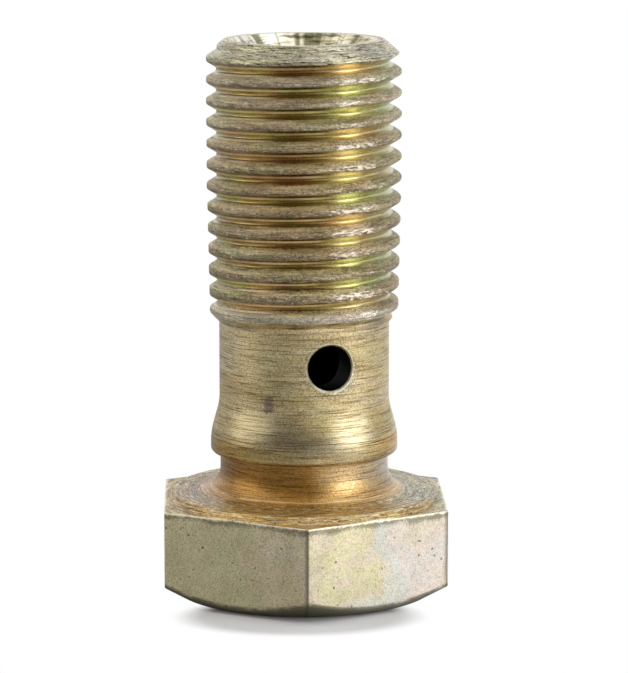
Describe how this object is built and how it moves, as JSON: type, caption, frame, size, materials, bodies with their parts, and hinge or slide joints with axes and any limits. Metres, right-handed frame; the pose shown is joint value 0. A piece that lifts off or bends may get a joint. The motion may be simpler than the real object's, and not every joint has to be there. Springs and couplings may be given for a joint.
{
  "type": "banjo bolt",
  "caption": "Hexagon-head banjo bolt with a fine right-hand thread, a captive-washer collar, an axial oil bore and a cross hole.",
  "frame": {"origin": "centre of the hexagon head's end face, which the bolt stands on", "axes": "+Z along the bolt's axis towards the threaded end; one hexagon corner points to -Y, two flats face +X and -X"},
  "size_m": [0.02, 0.023, 0.0395],
  "materials": {
    "plated_steel": "yellow-passivated zinc plate, iridescent, worn"
  },
  "bodies": {
    "root": {"banjo_bolt": "plated_steel"}
  },
  "joints": []
}
